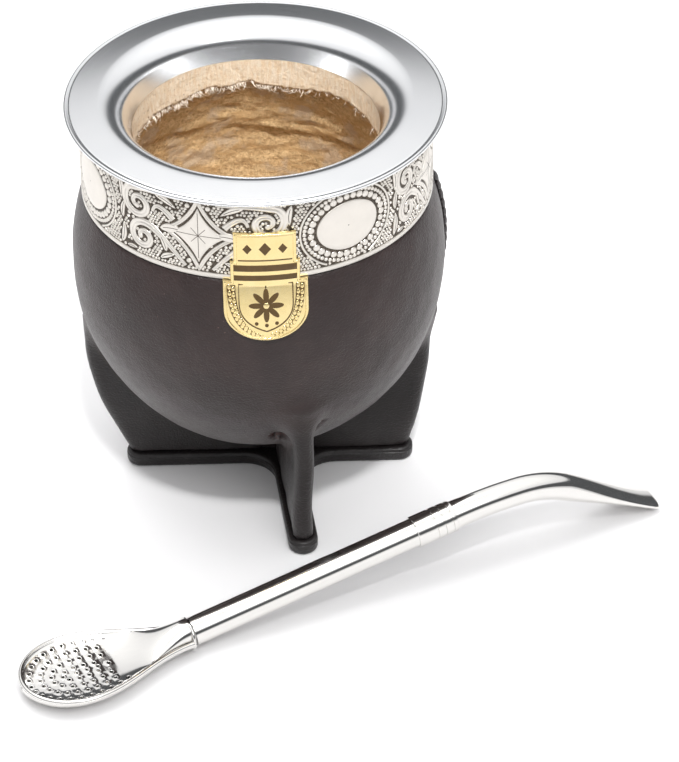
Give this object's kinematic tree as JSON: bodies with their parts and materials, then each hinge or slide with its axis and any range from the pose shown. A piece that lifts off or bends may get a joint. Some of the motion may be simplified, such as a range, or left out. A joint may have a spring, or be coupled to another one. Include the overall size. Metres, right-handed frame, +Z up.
{
  "type": "mate gourd with metal straw",
  "caption": "Empty calabash drinking gourd in a laced leather cover on leather fins, with engraved metal band, flared rim and badge, and a bent metal filter straw lying beside it.",
  "frame": {"origin": "on the floor, on the axis of the gourd, in the underside of the sole", "axes": "+Z up along the gourd axis, -Y towards the front with the badge and the straw, +X to the right"},
  "size_m": [0.172, 0.1572, 0.118],
  "materials": {
    "calabash": "scraped dried gourd, rough inside",
    "cover_leather": "fine-grained dark brown leather, satin",
    "lacing_leather": "laced leather strip, satin",
    "fin_leather": "folded dark leather, satin",
    "sole_leather": "pressed dark leather, satin",
    "rim_metal": "polished, spun",
    "band_metal": "engraved white metal with darkened ground",
    "badge_metal": "polished gold colour with dark enamel",
    "straw_metal": "polished"
  },
  "bodies": {
    "root": {"calabash": "calabash", "leather_cover": "cover_leather", "seam_braid": "lacing_leather", "fin_front": "fin_leather", "fin_left": "fin_leather", "fin_right": "fin_leather", "fin_rear": "fin_leather", "sole": "sole_leather", "rim": "rim_metal", "band": "band_metal", "badge": "badge_metal", "straw_bowl": "straw_metal", "straw_sieve": "straw_metal", "straw_tube": "straw_metal", "straw_collar": "straw_metal", "straw_bend": "straw_metal", "straw_mouthpiece": "straw_metal"}
  },
  "joints": []
}
